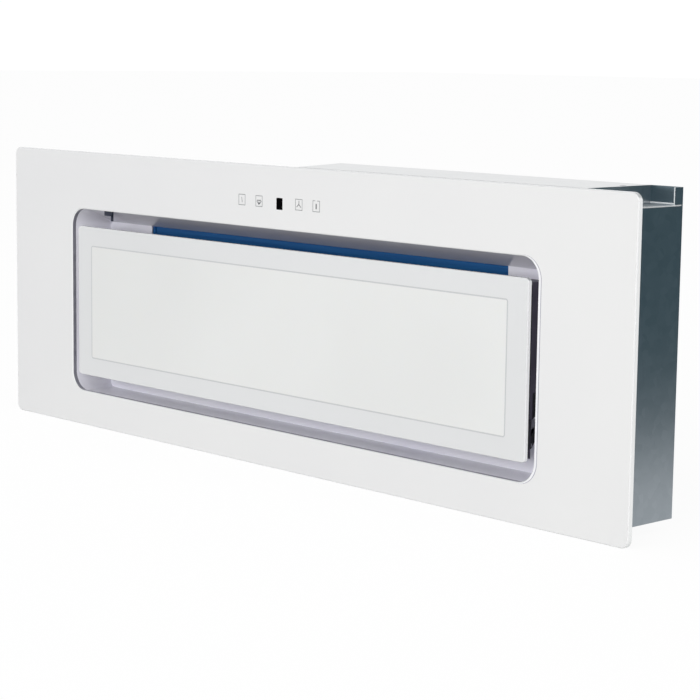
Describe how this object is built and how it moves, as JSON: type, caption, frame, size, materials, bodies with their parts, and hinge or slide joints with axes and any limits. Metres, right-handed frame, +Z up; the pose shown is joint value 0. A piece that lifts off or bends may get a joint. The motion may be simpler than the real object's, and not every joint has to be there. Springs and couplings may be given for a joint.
{
  "type": "range hood",
  "caption": "Flush ceiling range hood: white glass frame, recess with grease filter behind a hinged lamp panel, sheet body, boxed blower, round duct collar with butterfly damper.",
  "frame": {"origin": "centre of the rectangle of four fixing holes, on the rear face of the body's back panel", "axes": "+X to the right along the glass, +Z up as pictured, -Y out of the glass; fixed in a ceiling, the hood is turned so that -Y points down"},
  "size_m": [0.9, 0.352, 0.3002],
  "materials": {
    "white_glass": "polished, painted white behind",
    "panel_white_glass": "polished, painted white behind round the lamp window",
    "white_enamel": "satin white",
    "zinc_sheet": "bright galvanised",
    "zinc_sheet_light": "bright galvanised",
    "collar_plastic": "moulded, matt",
    "steel_pin": "ground",
    "flap_sheet": "moulded, matt",
    "scroll_sheet": "galvanised",
    "impeller_sheet": "pressed, galvanised",
    "motor_casting": "dark lacquer",
    "capacitor_can": "moulded",
    "box_plastic": "moulded, light grey",
    "board_laminate": "green lacquered laminate",
    "terminal_plastic": "moulded",
    "gland_nylon": "moulded nylon",
    "display_black": "gloss black window",
    "filter_aluminium": "anodised blue-grey",
    "filter_mesh_aluminium": "expanded mesh, blue",
    "latch_plastic": "moulded, matt black",
    "plunger_plastic": "moulded grey, magnet tipped",
    "tray_black": "satin black",
    "opal_acrylic": "opal",
    "clear_acrylic": "clear, dotted",
    "reflector_white": "matt white",
    "led_board_white": "white lacquered laminate",
    "driver_plastic": "moulded white",
    "bracket_black": "black lacquer"
  },
  "bodies": {
    "housing": {"front_glass": "white_glass", "recess_surround": "white_enamel", "body_shell": "zinc_sheet", "back_panel": "zinc_sheet", "wiring_cover": "zinc_sheet_light", "motor_box": "zinc_sheet", "duct_spigot": "collar_plastic", "damper_pin": "steel_pin", "scroll_housing": "scroll_sheet", "inlet_rings": "collar_plastic", "motor": "motor_casting", "motor_bracket": "scroll_sheet", "capacitor": "capacitor_can", "capacitor_clip": "scroll_sheet", "control_box": "box_plastic", "control_lid": "box_plastic", "control_board": "board_laminate", "terminal_block": "terminal_plastic", "cable_gland": "gland_nylon", "touch_board": "board_laminate", "display_module": "display_black", "filter_frame": "filter_aluminium", "filter_mesh": "filter_mesh_aluminium", "hinge_brackets": "bracket_black", "catch_housings": "latch_plastic"},
    "panel": {"panel_glass": "panel_white_glass", "light_tray": "tray_black", "diffuser": "opal_acrylic", "light_guide": "clear_acrylic", "reflector_sheet": "reflector_white", "led_strips": "led_board_white", "led_driver": "driver_plastic", "hinge_pins": "steel_pin"},
    "filter_latch_left": {"filter_latch_left": "latch_plastic"},
    "filter_latch_right": {"filter_latch_right": "latch_plastic"},
    "catch_plunger_left": {"catch_plunger_left": "plunger_plastic"},
    "catch_plunger_right": {"catch_plunger_right": "plunger_plastic"},
    "rotor": {"impeller": "impeller_sheet", "motor_shaft": "steel_pin"},
    "damper_flap_left": {"damper_flap_left": "flap_sheet"},
    "damper_flap_right": {"damper_flap_right": "flap_sheet"}
  },
  "joints": [
    {"name": "panel_hinge", "type": "hinge", "parent": "housing", "child": "panel", "pos_m": [0, -0.0785, -0.08], "axis": [1, 0, 0], "range_deg": [0, 85]},
    {"name": "filter_latch_left_slide", "type": "slide", "parent": "housing", "child": "filter_latch_left", "axis": [0, 0, 1], "range_m": [0, 0.006], "stiffness_N_per_m": 200, "springref_m": -0.003},
    {"name": "filter_latch_right_slide", "type": "slide", "parent": "housing", "child": "filter_latch_right", "axis": [0, 0, 1], "range_m": [0, 0.006], "stiffness_N_per_m": 200, "springref_m": -0.003},
    {"name": "catch_plunger_left_slide", "type": "slide", "parent": "housing", "child": "catch_plunger_left", "axis": [0, 1, 0], "range_m": [0, 0.004], "stiffness_N_per_m": 400, "springref_m": -0.002},
    {"name": "catch_plunger_right_slide", "type": "slide", "parent": "housing", "child": "catch_plunger_right", "axis": [0, 1, 0], "range_m": [0, 0.004], "stiffness_N_per_m": 400, "springref_m": -0.002},
    {"name": "impeller_spin", "type": "hinge", "parent": "housing", "child": "rotor", "pos_m": [-0.055, 0.108, 0], "axis": [0, 0, 1], "continuous": true},
    {"name": "damper_left_hinge", "type": "hinge", "parent": "housing", "child": "damper_flap_left", "pos_m": [0, 0.222, 0], "axis": [0, 0, -1], "range_deg": [0, 80], "stiffness_Nm_per_rad": 0.02, "springref_deg": -11.46},
    {"name": "damper_right_hinge", "type": "hinge", "parent": "housing", "child": "damper_flap_right", "pos_m": [0, 0.222, 0], "axis": [0, 0, 1], "range_deg": [0, 80], "stiffness_Nm_per_rad": 0.02, "springref_deg": -11.46}
  ]
}
